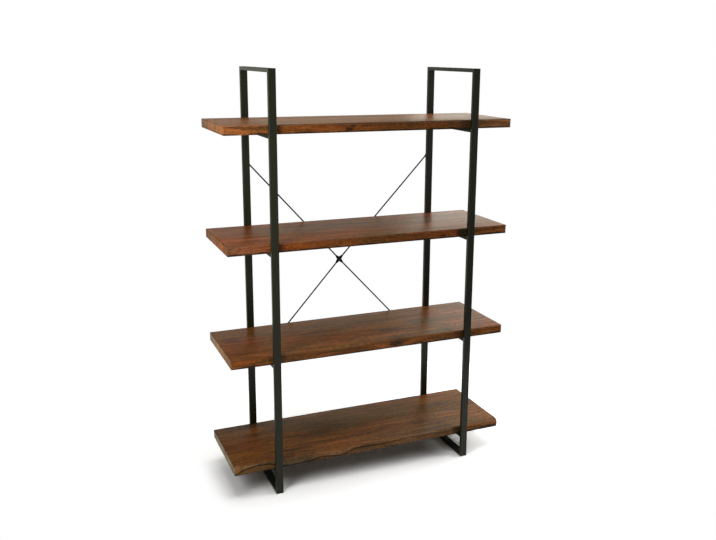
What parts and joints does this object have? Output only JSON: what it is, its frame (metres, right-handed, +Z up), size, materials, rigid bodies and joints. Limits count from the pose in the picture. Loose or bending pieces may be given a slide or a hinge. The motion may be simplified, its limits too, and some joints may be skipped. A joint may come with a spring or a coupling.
{
  "type": "shelving unit",
  "caption": "Open shelving unit with thick live-edge wooden shelves held in black flat-tube side loops, with a crossed rod brace behind.",
  "frame": {"origin": "on the floor, midway between the two side frames and midway through their depth", "axes": "+X along the shelves to the right as seen from the front, +Y from the front to the back, +Z up"},
  "size_m": [1.2, 0.426, 1.68],
  "materials": {
    "frame_steel": "satin black powder coat",
    "brace_steel": "satin black paint",
    "shelf_wood": "satin reddish-brown stain, long grain along the shelf",
    "black_fixings": "black oxide",
    "zinc_fixings": "zinc plated"
  },
  "bodies": {
    "root": {"left_front_post": "frame_steel", "left_rear_post": "frame_steel", "left_top_rail": "frame_steel", "left_bottom_rail": "frame_steel", "left_bottom_shelf_rail": "frame_steel", "left_lower_middle_shelf_rail": "frame_steel", "left_upper_middle_shelf_rail": "frame_steel", "left_top_shelf_rail": "frame_steel", "right_front_post": "frame_steel", "right_rear_post": "frame_steel", "right_top_rail": "frame_steel", "right_bottom_rail": "frame_steel", "right_bottom_shelf_rail": "frame_steel", "right_lower_middle_shelf_rail": "frame_steel", "right_upper_middle_shelf_rail": "frame_steel", "right_top_shelf_rail": "frame_steel", "bottom_shelf": "shelf_wood", "lower_middle_shelf": "shelf_wood", "upper_middle_shelf": "shelf_wood", "top_shelf": "shelf_wood", "falling_brace_rod": "brace_steel", "rising_brace_rod": "brace_steel", "brace_weld_nuts": "zinc_fixings", "brace_end_bolts": "black_fixings", "brace_centre_bolt": "black_fixings", "brace_centre_washers": "black_fixings", "brace_centre_nut": "black_fixings"}
  },
  "joints": []
}
